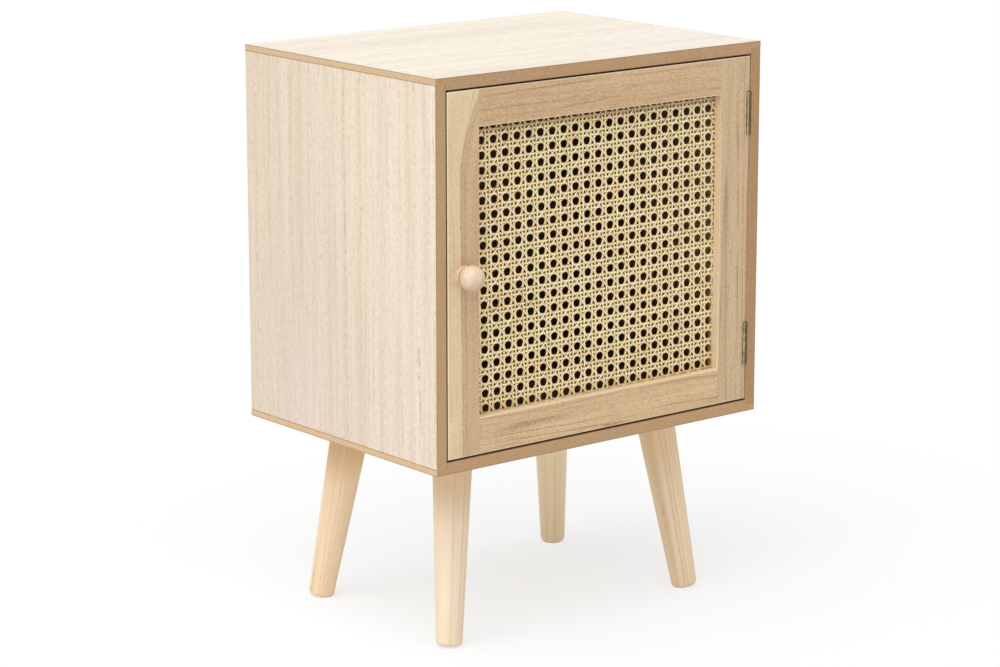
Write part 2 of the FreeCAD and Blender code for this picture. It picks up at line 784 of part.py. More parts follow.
def strike():
    """The steel plate that the magnet pulls, on one countersunk screw."""
    seat = ("catch_x", "strike_back", "catch_z")
    plate = block(
        "strike_blank",
        ("catch_x - strike_long / 2", "door_back", "catch_z - strike_high / 2"),
        ("strike_long", "strike_thick", "strike_high"),
    )
    wide = "catch_screw_head + 2 * joint_clear"
    sink = taper("strike_sink", "-y", seat, wide, "catch_screw + 2 * joint_clear", "strike_thick")
    keep("strike_plate", cut("strike_cut", plate, sink))
    sizes = ("catch_screw", "strike_screw_long", "catch_screw_head", "strike_thick")
    keep("strike_screw", screw("strike_screw_whole", "-y", seat, *sizes))


def strike_pilot():
    """The pilot hole for the strike plate's screw."""
    deep = "strike_screw_long - strike_thick + joint_clear"
    start = ("catch_x", "door_back", "catch_z")
    return rod("strike_pilot", "-y", start, "catch_screw + 2 * joint_clear", deep)


# The whole cabinet

lapped_board(
    "top_panel",
    "inner_top",
    "inner_top",
    "inner_top",
    *brad_holes("top", "top"),
    *catch_pilots(),
)
lapped_board(
    "bottom_panel",
    "under",
    "under + lap",
    "inner_bottom - back_rebate",
    *brad_holes("bottom", "bottom"),
    *nut_holes(),
)
side_board("side_panel_left", "left", "inner_left - back_rebate", *brad_holes("left", "left"))
side_board(
    "side_panel_right",
    "inner_right",
    "inner_right",
    *brad_holes("right", "right"),
    *hinge_recesses("side"),
)
back_panel()
for leg_place in leg_tops():
    leg(*leg_place)
leg_fixings()
stile(
    "pull_stile",
    "door_left",
    "open_left - cane_grip",
    "open_left - tenon_long - joint_clear",
    knob_hole(),
    strike_pilot(),
)
stile("hinge_stile", "open_right", "open_right", "open_right", *hinge_recesses("door"))
rail("top_rail", "open_top", "open_top")
rail("bottom_rail", "door_bottom", "open_bottom - cane_grip")
cane_panel()
beads()
knob()
hinge_hardware()
catch()
strike()
doc.recompute()

# Every object has to be sound before anything is written

for item in doc.Objects:
    if "Invalid" in item.State or "Error" in item.State:
        raise RuntimeError(f"{item.Name} failed to build: {item.State}")
for item in sub_parts:
    if item.Shape.isNull() or not item.Shape.isValid() or not item.Shape.Solids:
        raise RuntimeError(f"{item.Label} has no sound solid")

os.makedirs("parts", exist_ok=True)
for item in sub_parts:
    item.Shape.exportStep(os.path.join("parts", f"{item.Label}.step"))
    print(f"{item.Label:24s} {len(item.Shape.Solids):3d} solids {item.Shape.Volume / 1000:10.2f} cm3")
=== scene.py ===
# %% [markdown]
# A nightstand with a cane door: a veneered box on four turned legs, with a framed door that carries a panel
# of woven cane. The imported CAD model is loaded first, as a fixed frame. Its nodes are in metres and already
# in place, so many of them only need a finish, and what the solids leave out, such as the weave of the
# cane, is modelled on top of them.

# %% Load the frame
import json
from math import cos, pi, radians, sin

import bmesh
import bpy
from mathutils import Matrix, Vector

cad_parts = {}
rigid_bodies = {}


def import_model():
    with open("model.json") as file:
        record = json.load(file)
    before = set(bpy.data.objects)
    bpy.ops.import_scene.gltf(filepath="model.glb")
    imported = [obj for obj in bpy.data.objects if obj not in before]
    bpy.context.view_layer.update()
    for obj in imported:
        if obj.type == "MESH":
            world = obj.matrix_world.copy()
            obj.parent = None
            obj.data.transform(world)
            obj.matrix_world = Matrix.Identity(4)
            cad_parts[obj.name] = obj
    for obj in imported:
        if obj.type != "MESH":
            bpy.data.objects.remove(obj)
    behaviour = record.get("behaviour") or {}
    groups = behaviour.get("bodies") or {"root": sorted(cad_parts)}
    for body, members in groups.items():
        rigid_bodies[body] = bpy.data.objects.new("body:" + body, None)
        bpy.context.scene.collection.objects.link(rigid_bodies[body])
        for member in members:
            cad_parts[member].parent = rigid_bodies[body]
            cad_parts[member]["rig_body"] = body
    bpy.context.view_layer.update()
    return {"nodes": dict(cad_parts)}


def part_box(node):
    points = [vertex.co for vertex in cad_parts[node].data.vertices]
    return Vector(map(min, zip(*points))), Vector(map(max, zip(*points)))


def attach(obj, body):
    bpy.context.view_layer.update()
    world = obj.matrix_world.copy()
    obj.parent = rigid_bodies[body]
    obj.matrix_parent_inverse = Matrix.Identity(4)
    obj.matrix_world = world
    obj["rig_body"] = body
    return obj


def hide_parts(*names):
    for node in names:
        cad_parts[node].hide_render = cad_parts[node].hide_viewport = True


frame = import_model()
scene = bpy.context.scene
nodes = frame["nodes"]

# %% [markdown]
# The camera stands where the photographer stood: in front of the left edge, a little above the top, with a
# long lens that keeps the upright edges nearly parallel. Its place and lens were fitted to the corners of
# the box, the door and the feet, so a new camera is only added and aimed.

# %% Camera
CAMERA_PLACE = (-1.9460, -2.3672, 0.9713)
CAMERA_TURN = (radians(77.04), 0, radians(-39.21))
SENSOR_WIDE = 36
LENS = 115.4
bpy.ops.object.select_all(action="DESELECT")
bpy.ops.object.camera_add(location=CAMERA_PLACE, rotation=CAMERA_TURN)
camera = bpy.context.object
camera.name = "camera"
camera.data.sensor_width = SENSOR_WIDE
camera.data.lens = LENS
scene.camera = camera
print("lens:", camera.data.lens)

# %% [markdown]
# Every finish below is a small sum of noises. Wiring them one node at a time is long, so one class wraps a
# socket: a sum written in Python adds the Math nodes, and one method adds any other node.


# %% A socket that can be used in sums
class Socket:
    """One output of a node, ready to be used in a sum."""

    def __init__(self, tree, output):
        self.tree = tree
        self.output = output

    def add(self, kind, settings, inputs, give=0):
        """Adds a node to the tree, sets it up, fills its sockets and gives back one of its outputs."""
        made = self.tree.nodes.new(kind)
        for name, setting in settings.items():
            setattr(made, name, setting)
        for name, value in inputs.items():
            if isinstance(value, Socket):
                self.tree.links.new(value.output, made.inputs[name])
            else:
                made.inputs[name].default_value = value
        return Socket(self.tree, made.outputs[give])

    def math(self, operation, *values):
        """Adds a Math node."""
        return self.add("ShaderNodeMath", {"operation": operation}, dict(enumerate(values)))

    def __add__(self, other):
        return self.math("ADD", self, other)

    def __radd__(self, other):
        return self.math("ADD", other, self)

    def __sub__(self, other):
        return self.math("SUBTRACT", self, other)

    def __rsub__(self, other):
        return self.math("SUBTRACT", other, self)

    def __mul__(self, other):
        return self.math("MULTIPLY", self, other)

    def __rmul__(self, other):
        return self.math("MULTIPLY", other, self)

    def __truediv__(self, other):
        return self.math("DIVIDE", self, other)

    def __rtruediv__(self, other):
        return self.math("DIVIDE", other, self)

    def __pow__(self, other):
        return self.math("POWER", self, other)

    def __abs__(self):
        return self.math("ABSOLUTE", self)


# %% [markdown]
# Wood, fibreboard, cane and brass all need the same few steps: the place on the piece, a noise stretched
# along the grain, a soft threshold, and a mix of two tones. Each is a helper of a few lines.


# %% Helpers for patterns
def parts_of(vector):
    """The X, Y and Z of a vector."""
    split = vector.add("ShaderNodeSeparateXYZ", {}, {"Vector": vector}).output.node
    return [Socket(vector.tree, split.outputs[axis]) for axis in "XYZ"]


def vector_of(x, y, z):
    """A vector from three values, of which X is a socket."""
    return x.add("ShaderNodeCombineXYZ", {}, {"X": x, "Y": y, "Z": z})


NOISE_ROUGHNESS = 0.55
SEED_STEPS = (1.0, 2.7, 5.1)


def noise(place, sizes, seed=0.0, detail=2.0):
    """Soft random values about 0.5, in blobs of the given sizes in metres along X, Y and Z."""
    scale = [1 / size for size in sizes]
    shift = [step * seed for step in SEED_STEPS]
    spot = place.add("ShaderNodeMapping", {}, {"Vector": place, "Scale": scale, "Location": shift})
    values = {"Vector": spot, "Scale": 1.0, "Detail": detail, "Roughness": NOISE_ROUGHNESS}
    return place.add("ShaderNodeTexNoise", {}, values)


def smooth(value, low, high):
    """0 where the value is below low, 1 where it is above high, and a soft step between."""
    limits = {"Value": value, "From Min": low, "From Max": high}
    return value.add("ShaderNodeMapRange", {"interpolation_type": "SMOOTHSTEP"}, limits)


def mix(factor, first, second):
    """The first colour where the factor is 0, and the second where it is 1. One of the three is a socket."""
    socket = next(value for value in (factor, first, second) if isinstance(value, Socket))
    return socket.add("ShaderNodeMix", {"data_type": "RGBA"}, {0: factor, 6: first, 7: second}, give=2)


def tone(red, green, blue):
    """A colour, as the share of each light that it sends back."""
    return (red, green, blue, 1)


def bumped(height, depth):
    """A normal that rises and falls with the height, by the depth in metres."""
    return height.add("ShaderNodeBump", {}, {"Height": height, "Distance": depth, "Strength": 1.0})


# %% Helpers for finishes
def start_finish(name):
    """A new material: its shader, and the sockets for the place and the normal on the piece."""
    material = bpy.data.materials.new(name)
    material.use_nodes = True
    tree = material.node_tree
    coordinates = tree.nodes.new("ShaderNodeTexCoord")
    place = Socket(tree, coordinates.outputs["Object"])
    facing = Socket(tree, coordinates.outputs["Normal"])
    return material, tree.nodes["Principled BSDF"], place, facing


def feed(shader, name, value):
    """Links a socket to the shader, or sets a plain value on it."""
    if isinstance(value, Socket):
        value.tree.links.new(value.output, shader.inputs[name])
    else:
        shader.inputs[name].default_value = value


def wear(piece, material):
    """Gives a piece one material in place of those that it came with."""
    piece.data.materials.clear()
    piece.data.materials.append(material)


# %% [markdown]
# The light is that of a product studio: a white room all round and one broad lamp, high on the left and a
# little in front. A uniform room lights every face alike, so the lamp alone makes the left side and the top
# brighter than the front. The floor and the room look plain white, and the floor keeps the soft shadow
# under the legs.

# %% Room and lamp
scene.view_settings.view_transform = "Standard"
room = bpy.data.worlds.new("white_room")
room.use_nodes = True
scene.world = room


def seen_directly(tree):
    """1 for what the camera or a gloss shows, and 0 for what only lights the object."""
    rays = tree.nodes.new("ShaderNodeLightPath")
    kinds = ("Is Camera Ray", "Is Glossy Ray", "Is Transmission Ray")
    looks = [Socket(tree, rays.outputs[kind]) for kind in kinds]
    return looks[0].math("MAXIMUM", looks[0].math("MAXIMUM", looks[0], looks[1]), looks[2])


ROOM_LIGHT = 0.60
backdrop = room.node_tree.nodes["Background"]
feed(backdrop, "Color", tone(1, 1, 1))
feed(backdrop, "Strength", ROOM_LIGHT + (1 - ROOM_LIGHT) * seen_directly(room.node_tree))

LAMP_PLACE = (-2, -1, 3)
LAMP_TURN = (radians(7), radians(-25), 0)
LAMP_POWER = 0.64 * pi
LAMP_SPREAD = radians(60)
bpy.ops.object.light_add(type="SUN", location=LAMP_PLACE, rotation=LAMP_TURN)
lamp = bpy.context.object
lamp.name = "lamp"
lamp.data.energy = LAMP_POWER
lamp.data.angle = LAMP_SPREAD
print("room:", ROOM_LIGHT, "lamp:", round(lamp.data.energy, 2))

# %% Floor
FLOOR_SIZE = 12
FLOOR_GLOW = 0.68
bpy.ops.mesh.primitive_plane_add(size=FLOOR_SIZE, location=(0, 0, 0))
floor = bpy.context.object
floor.name = "floor"
floor_paint, floor_shader, _, _ = start_finish("floor_paint")
feed(floor_shader, "Base Color", tone(0.88, 0.88, 0.88))
feed(floor_shader, "Roughness", 0.9)
feed(floor_shader, "Specular IOR Level", 0.1)
floor_tree = floor_paint.node_tree
floor_light = floor_tree.nodes.new("ShaderNodeEmission")
floor_sum = floor_tree.nodes.new("ShaderNodeMixShader")
feed(floor_sum, 0, FLOOR_GLOW * seen_directly(floor_tree))
floor_tree.links.new(floor_shader.outputs[0], floor_sum.inputs[1])
floor_tree.links.new(floor_light.outputs[0], floor_sum.inputs[2])
floor_tree.links.new(floor_sum.outputs[0], floor_tree.nodes["Material Output"].inputs["Surface"])
wear(floor, floor_paint)
print("floor:", floor.dimensions[:2])

# %% [markdown]
# No board or stile has knife edges: sandpaper takes them off, and the small round catches the light. The
# CAD solids have sharp edges, so each visible board is copied, its loose triangles are merged into whole
# faces, and the edges that show get a narrow bevel. The copy then stands for its node.


# %% Copy a node and ease its edges
CORNER_ANGLE = 0.6
SAME_SPOT = 0.000002
FLAT_ANGLE = radians(0.5)
SMOOTH_ANGLE = radians(20)


def sharp_edges(mesh, test):
    """The edges between two faces that meet at a corner, of those that pass the test."""
    whole = (edge for edge in mesh.edges if edge.is_manifold)
    return [edge for edge in whole if edge.calc_face_angle() > CORNER_ANGLE and test(edge)]


def eased_copy(name, test, width, cuts=()):
    """A copy of a CAD node, cut through at some heights, with the edges that pass the test rounded."""
    bpy.ops.object.select_all(action="DESELECT")
    piece = nodes[name].copy()
    piece.data = nodes[name].data.copy()
    piece.parent = None
    piece.name = name + "_eased"
    for label in list(piece.keys()):
        del piece[label]
    scene.collection.objects.link(piece)
    bpy.context.view_layer.objects.active = piece
    piece.select_set(True)
    bpy.ops.object.mode_set(mode="EDIT")
    bpy.ops.mesh.select_mode(type="EDGE")
    bpy.ops.mesh.select_all(action="SELECT")
    bpy.ops.mesh.remove_doubles(threshold=SAME_SPOT)
    bpy.ops.mesh.dissolve_limited(angle_limit=FLAT_ANGLE)
    for height in cuts:
        bpy.ops.mesh.select_all(action="SELECT")
        bpy.ops.mesh.bisect(plane_co=(0, 0, height), plane_no=(0, 0, 1))
    bpy.ops.mesh.select_all(action="DESELECT")
    mesh = bmesh.from_edit_mesh(piece.data)
    chosen = sharp_edges(mesh, test)
    for edge in chosen:
        edge.select_set(True)
    bmesh.update_edit_mesh(piece.data)
    bpy.ops.mesh.bevel(offset=width, segments=2, affect="EDGES", clamp_overlap=False)
    bpy.ops.object.mode_set(mode="OBJECT")
    bpy.ops.object.shade_smooth_by_angle(angle=SMOOTH_ANGLE)
    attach(piece, nodes[name]["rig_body"])
    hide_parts(name)
    print(piece.name, "eased edges:", len(chosen), "faces:", len(piece.data.polygons))
    return piece


# %% [markdown]
# The box is fibreboard with a thin veneer on its outer faces, so two finishes meet on each board. Which one
# shows is read from the way a face looks: the outer face is veneer, and the cut edges and the inside are
# bare fibreboard.


# %% Bare fibreboard
def fibreboard(place, seed):
    """The colour of bare fibreboard: warm tan, with soft clouds and faint specks."""
    specks = noise(place, (0.0022, 0.0022, 0.0022), seed, 3)
    clouds = noise(place, (0.020, 0.020, 0.020), seed + 3, 2)
    cloudy = mix(smooth(clouds, 0.35, 0.65), tone(0.695, 0.457, 0.246), tone(0.668, 0.473, 0.277))
    pale = mix(smooth(specks, 0.5, 0.72) * 0.6, cloudy, tone(0.80, 0.58, 0.36))
    return mix(smooth(specks, 0.5, 0.28) * 0.6, pale, tone(0.52, 0.32, 0.16))


# %% Veneer
LEAF_WIDE = 0.022


def veneer(along, across, seed, coarse, greyness):
    """Pale veneer: soft hues, bands, flecks and lines of pores. Coarse widens it, and greyness cools it."""
    sway = noise(vector_of(along, across, 0.0), (0.9, 0.2, 1), seed, 1)
    flat = vector_of(along, across + (sway - 0.5) * 0.005, 0.0)
    hues = noise(flat, (0.60, 0.036, 1), seed + 2, 2)
    bands = noise(flat, (0.50, 0.012 * coarse, 1), seed + 1, 3)
    streaks = noise(flat, (0.090 / coarse, 0.0028 * coarse, 1), seed + 3, 3)
    flecks = noise(flat, (0.005 * coarse, 0.0022 * coarse, 1), seed + 7, 2)
    strips = across / LEAF_WIDE + noise(flat, (4.0, 0.05, 1), seed + 4, 1) * 3.0
    line = smooth(abs(strips.math("FRACT", strips) - 0.5), 0.05, 0.015)
    dots = noise(flat, (0.0036, 0.02, 1), seed + 5, 1)
    patches = noise(flat, (0.13, 0.012, 1), seed + 6, 2)
    cream = mix(smooth(hues, 0.38, 0.62), tone(0.854, 0.713, 0.592), tone(0.844, 0.736, 0.558))
    bright = mix(smooth(bands, 0.50, 0.68) * 0.6, cream, tone(0.92, 0.82, 0.665))
    banded = mix(smooth(bands, 0.50, 0.32) * 0.45, bright, tone(0.70, 0.565, 0.43))
    streaked = mix(smooth(streaks, 0.47, 0.72) * 0.32, banded, tone(0.64, 0.51, 0.38))
    flecked = mix(smooth(flecks, 0.50, 0.72) * 0.45, streaked, tone(0.64, 0.49, 0.355))
    paled = mix(smooth(flecks, 0.48, 0.30) * 0.32, flecked, tone(0.95, 0.86, 0.71))
    pores = line * smooth(dots, 0.44, 0.58) * smooth(patches, 0.34, 0.60)
    lined = mix(pores * 0.5, paled, tone(0.54, 0.37, 0.25))
    return mix(greyness, lined, tone(0.64, 0.72, 0.74))


# %% Boards of the box
VENEER_THICK = 0.0011
# The tone of the painted shade on the front edges of the boards
FRONT_SHADE = tone(0.26, 0.0925, 0.005)
# The tone of the painted shade inside the box and on the lining at the door's gap, and how much the inside
# gets
INSIDE_SHADE = tone(0.16, 0.085, 0.045)
INSIDE_SHADE_SHARE = 0.82
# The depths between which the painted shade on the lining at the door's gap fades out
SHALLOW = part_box("pull_stile")[0][1] + 0.005
DEEP = SHALLOW + 0.006


def board_finish(name, axis, outward, grain, seed, front_shade_share, gap_lining_shade_share=0.85, coarse=1.0, greyness=0.0):
    """Veneer on the outward face along an axis, bare edges, and painted shade on the front, at the gap and
    inside.
    """
    material, shader, place, facing = start_finish(name + "_veneer")
    spots = dict(zip("xyz", parts_of(place)))
    ways = dict(zip("xyz", parts_of(facing)))
    across = next(letter for letter in "xyz" if letter not in (axis, grain))
    outer = smooth(ways[axis] * outward, 0.75, 0.85)
    inner = smooth(ways[axis] * -outward, 0.75, 0.85)
    low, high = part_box(name)
    faced = veneer(spots[grain], spots[across], seed, coarse, greyness)
    if grain == "z":
        chips = noise(place, (0.004, 0.004, 0.004), seed + 8, 3)
        to_end = abs(spots["z"] - (low[2] + high[2]) / 2) - ((high[2] - low[2]) / 2 - 0.0010)
        # The side gets darker toward the back, painted shade for light that falls off there, and a little
        # darker and pinker toward its foot.
        faced = mix(smooth(spots["y"], low[1], high[1]) * 0.20, faced, tone(0.40, 0.27, 0.19))
        faced = mix(smooth(spots["z"], high[2], low[2]) * 0.10, faced, tone(0.40, 0.29, 0.33))
        chipped = smooth(to_end + (chips - 0.5) * 0.0022, -0.0002, 0.0005)
        faced = mix(chipped * 0.7, faced, tone(0.32, 0.21, 0.13))
    else:
        to_side = high[0] - abs(spots["x"])
        to_edge = to_side.math("MINIMUM", to_side, high[1] - spots["y"])
        faced = mix(smooth(to_edge, 0.0030, 0.0008) * 0.3, faced, tone(0.50, 0.42, 0.35))
    number = "xyz".index(axis)
    skin, lining = (high[number], low[number]) if outward > 0 else (low[number], high[number])
    # On the cut edges a thin line at the veneer's depth is toned dark: the veneer's own edge, drawn darker as
    # a painted shadow line.
    in_skin = smooth(abs(spots[axis] - skin), VENEER_THICK * 1.3, VENEER_THICK * 0.7)
    bare = mix(in_skin * 0.9, fibreboard(place, seed), tone(0.45, 0.34, 0.215))
    front = smooth(ways["y"] * -1, 0.75, 0.85)
    # Painted shade: on the arris beside the door's gap, on the lining near the front, and over all the inside
    # faces.
    arris = front * smooth(abs(spots[axis] - lining), 0.0008, 0.0004)
    gap_lining_shade = arris + inner * smooth(spots["y"], DEEP, SHALLOW)
    # Painted shade, darker and warmer, on the front edges; the right board gets more, for light that falls
    # off toward the right.
    front_shaded = mix(front * front_shade_share, bare, FRONT_SHADE)
    shaded = mix(inner * INSIDE_SHADE_SHARE + gap_lining_shade * gap_lining_shade_share, front_shaded, INSIDE_SHADE)
    feed(shader, "Base Color", mix(outer, shaded, faced))
    feed(shader, "Roughness", 0.66 - 0.16 * outer)
    feed(shader, "Normal", bumped(noise(place, (0.0012, 0.0012, 0.0012), seed + 9, 2), 0.00008))
    return material


BOARD_ROUND = 0.0003
LONG_EDGE = 0.1


def is_long(edge):
    """True for an edge that runs along a board, and not round one of its holes."""
    return edge.calc_length() > LONG_EDGE


BOARDS = {
    "side_panel_left": dict(axis="x", outward=-1, grain="z", seed=1.0, front_shade_share=0.40),
    # On the right board a negative share lifts the painted shade off the lining near the front.
    "side_panel_right": dict(axis="x", outward=1, grain="z", seed=2.0, front_shade_share=0.56, gap_lining_shade_share=-0.7),
    "top_panel": dict(axis="z", outward=1, grain="x", seed=3.0, front_shade_share=0.43, coarse=2.5, greyness=0.22),
    "bottom_panel": dict(axis="z", outward=-1, grain="x", seed=4.0, front_shade_share=0.42),
}
for name, look in BOARDS.items():
    board = eased_copy(name, is_long, BOARD_ROUND)
    wear(board, board_finish(name, **look))

# %% [markdown]
# The door frame is solid tan wood. Wavy growth lines are the contours of one soft noise that is stretched
# along the grain: that gives long lines that part and meet, as sawn wood shows them, where plain stripes
# would look printed.


# %% Frame wood
def frame_wood(along, across, deep, seed, pale, dark, lines=9, run=1.0):
    """Tan wood and its relief: broad bands, growth lines that wave over a run, streaks and short pores."""
    sway = noise(vector_of(along, across, deep), (0.16, 0.04, 0.04), seed, 2)
    flat = vector_of(along, across + (sway - 0.5) * 0.008, deep)
    bands = noise(flat, (0.40, 0.009, 0.02), seed + 1, 2)
    rings = noise(flat, (run, 0.030, 0.05), seed + 2, 1) * lines
    ring = smooth(rings.math("FRACT", rings), 0.78, 0.98)
    patches = noise(flat, (0.07, 0.012, 0.02), seed + 3, 2)
    streaks = noise(flat, (0.045, 0.0022, 0.004), seed + 4, 3)
    dashes = noise(flat, (0.0034, 0.0013, 0.002), seed + 5, 2)
    banded = mix(smooth(bands, 0.3, 0.7), dark, pale)
    streaked = mix(smooth(streaks, 0.48, 0.74) * 0.5, banded, tone(0.47, 0.30, 0.155))
    ringed = mix(ring * smooth(patches, 0.30, 0.60) * 0.82, streaked, tone(0.38, 0.22, 0.10))
    dashed = mix(smooth(dashes, 0.52, 0.68) * 0.46, ringed, tone(0.38, 0.235, 0.12))
    flecked = mix(smooth(dashes, 0.48, 0.30) * 0.28, dashed, tone(0.90, 0.70, 0.46))
    return flecked, streaks


def worn_highlit_edge(facing):
    """1 on the rounded edges of a piece, which look along none of the three axes, and 0 on its flats."""
    x, y, z = (abs(way) for way in parts_of(facing))
    flat = x.math("MAXIMUM", x.math("MAXIMUM", x, y), z)
    return smooth(flat, 0.985, 0.94)


GRAIN_DEEP = 0.00007


def finish_wood(material, shader, colour, relief, roughness):
    """Puts the colour and the relief of a wood on its shader."""
    feed(shader, "Base Color", colour)
    feed(shader, "Roughness", roughness)
    feed(shader, "Normal", bumped(relief, GRAIN_DEEP))
    return material


FRAME_PALE = tone(0.685, 0.475, 0.268)
FRAME_DARK = tone(0.61, 0.405, 0.216)
FRAME_ROUGHNESS = 0.55
# Pale rounded edges: worn wood, brightened further as a painted highlight.
RUBBED_HIGHLIGHT = tone(1.0, 0.88, 0.67)
RUBBED_HIGHLIGHT_SHARE = 0.5
# Painted light on faces that look toward the lamp, and painted shade on faces in the door's gap.
LAMP_LIT_TONE = (tone(0.98, 0.79, 0.52), 0.75)
GAP_SHADE = (tone(0.13, 0.08, 0.045), 0.85)


def toned_sides(colour, facing, sides):
    """Mixes painted light and shade into the faces that look along an axis, for each axis, direction and tone
    in a list.
    """
    ways = dict(zip("xyz", parts_of(facing)))
    for axis, sign, (tint, strength) in sides:
        colour = mix(smooth(ways[axis] * sign, 0.88, 0.97) * strength, colour, tint)
    return colour


def frame_finish(name, grain, seed, pale=FRAME_PALE, dark=FRAME_DARK, lines=9, run=1.0, sides=()):
    """The finish of one straight-grained piece of the door frame, worn pale along its edges with a painted
    highlight.
    """
    material, shader, place, facing = start_finish(name)
    x, y, z = parts_of(place)
    along, across = (x, z) if grain == "x" else (z, x)
    colour, relief = frame_wood(along, across, y, seed, pale, dark, lines, run)
    sided = toned_sides(colour, facing, sides)
    rubbed_highlit = mix(worn_highlit_edge(facing) * RUBBED_HIGHLIGHT_SHARE, sided, RUBBED_HIGHLIGHT)
    return finish_wood(material, shader, rubbed_highlit, relief, FRAME_ROUGHNESS)


# %% [markdown]
# The pull stile is cut from the edge of the trunk: a strip of pale sapwood runs down its outer side, and
# near the top the line between the two swings across to the other edge. The grain follows that line, so it
# is drawn first. The narrow outer side and the top get painted shade, so that the gap beside them reads as
# one fine dark line.

# %% Two-toned stile
DOOR_LOW, DOOR_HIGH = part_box("pull_stile")
SWING_LONG = 0.080
SWING_WIDE = 0.023
SAPWOOD_WIDE = 0.0138
SAPWOOD_GAIN = 0.009
SAPWOOD = (tone(0.81, 0.62, 0.388), tone(0.755, 0.565, 0.338))
HEARTWOOD = (tone(0.665, 0.455, 0.258), tone(0.585, 0.39, 0.208))
FADE_FROM, FADE_TO = 0.40, 0.22
PULL_RUBBED_HIGHLIGHT_SHARE = 0.85


def two_toned_finish(name, seed):
    """Pale sapwood on the outer side of the stile and darker heartwood on the inner one."""
    material, shader, place, facing = start_finish(name)
    x, y, z = parts_of(place)
    near_top = (z - (DOOR_HIGH[2] - SWING_LONG)) / SWING_LONG
    near_top = near_top.math("MAXIMUM", near_top, 0.0)
    swing = near_top ** 1.5 * SWING_WIDE
    edge = swing + (DOOR_HIGH[2] - z) * SAPWOOD_GAIN + (DOOR_LOW[0] + SAPWOOD_WIDE)
    inside = x - edge
    wisps = noise(vector_of(z, inside, y), (0.035, 0.0026, 0.01), seed, 3)
    wobble = noise(place, (0.004, 0.02, 0.008), seed + 2, 2)
    ragged = inside + (wobble - 0.5) * 0.0016 + (wisps - 0.5) * (near_top * 0.022 + 0.002)
    heart = smooth(ragged / (near_top * 2 + 1), -0.0006, 0.0010) * (1 - near_top * 0.3)
    seam = smooth(abs(ragged - 0.0008), 0.0013, 0.0002) * smooth(wisps, 0.35, 0.6)
    darker, relief = frame_wood(z, inside, y, seed + 1, *HEARTWOOD)
    darker = mix(smooth(z, FADE_FROM, FADE_TO) * 0.25, darker, tone(0.76, 0.57, 0.345))
    paler, _ = frame_wood(z, x - swing * 0.6, y, seed + 11, *SAPWOOD)
    pale_even = mix(smooth(wobble, 0.0, 1.1), paler, tone(0.785, 0.597, 0.368))
    both = mix(seam * 0.55, mix(heart, pale_even, darker), tone(0.42, 0.27, 0.14))
    sided = toned_sides(both, facing, (("x", -1, GAP_SHADE), ("z", 1, GAP_SHADE)))
    rubbed_highlit = mix(worn_highlit_edge(facing) * PULL_RUBBED_HIGHLIGHT_SHARE, sided, RUBBED_HIGHLIGHT)
    return finish_wood(material, shader, rubbed_highlit, relief, FRAME_ROUGHNESS)


# %% Door frame
FRONT = DOOR_LOW[1]
OPEN_LOW, OPEN_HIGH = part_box("bottom_rail")[1][2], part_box("top_rail")[0][2]
OPEN_LEFT = DOOR_HIGH[0]
FRAME_ROUND = 0.0008
HAIR = 0.0001
SHORT_EDGE = 0.004


def shows_on_frame(edge):
    """True for a long edge of the front, apart from those where a rail meets a stile."""
    first, second = (vertex.co for vertex in edge.verts)
    in_front = abs(first.y - FRONT) < HAIR and abs(second.y - FRONT) < HAIR
    upright = abs(first.x - second.x) < HAIR
    in_joint = upright and abs(abs(first.x) - abs(DOOR_HIGH[0])) < HAIR
    beside_opening = OPEN_LOW < (first.z + second.z) / 2 < OPEN_HIGH
    return in_front and edge.calc_length() > SHORT_EDGE and (beside_opening or not in_joint)


HINGE_SIDE = (tone(0.655, 0.475, 0.287), tone(0.585, 0.415, 0.24))
LOW_RAIL = (tone(0.73, 0.52, 0.295), tone(0.645, 0.44, 0.236))
FRAME = {
    "pull_stile": two_toned_finish("frame_pull_side", 14.0),
    "hinge_stile": frame_finish(
        "frame_hinge_side",
        "z",
        13.0,
        *HINGE_SIDE,
        lines=15,
        run=4.0,
        sides=(("x", -1, LAMP_LIT_TONE), ("z", 1, GAP_SHADE)),
    ),
    "top_rail": frame_finish("frame_top", "x", 11.0, sides=(("z", 1, GAP_SHADE),)),
    "bottom_rail": frame_finish("frame_bottom", "x", 12.0, *LOW_RAIL, sides=(("z", 1, LAMP_LIT_TONE),)),
}
for name, material in FRAME.items():
    cuts = (OPEN_LOW, OPEN_HIGH) if name.endswith("stile") else ()
    piece = eased_copy(name, shows_on_frame, FRAME_ROUND, cuts)
    wear(piece, material)
for name in ("cane_bead_top", "cane_bead_bottom"):
    wear(nodes[name], frame_finish(name + "_wood", "x", 15.0))
for name in ("cane_bead_left", "cane_bead_right"):
    wear(nodes[name], frame_finish(name + "_wood", "z", 16.0))

# %% [markdown]
# The legs are turned from paler wood. Their grain runs along their own leaning axis, so the pattern is
# sheared by the lean before it is drawn: X and Y are taken from the axis. They are also stretched as the
# leg gets thinner, so that the lines follow its taper.


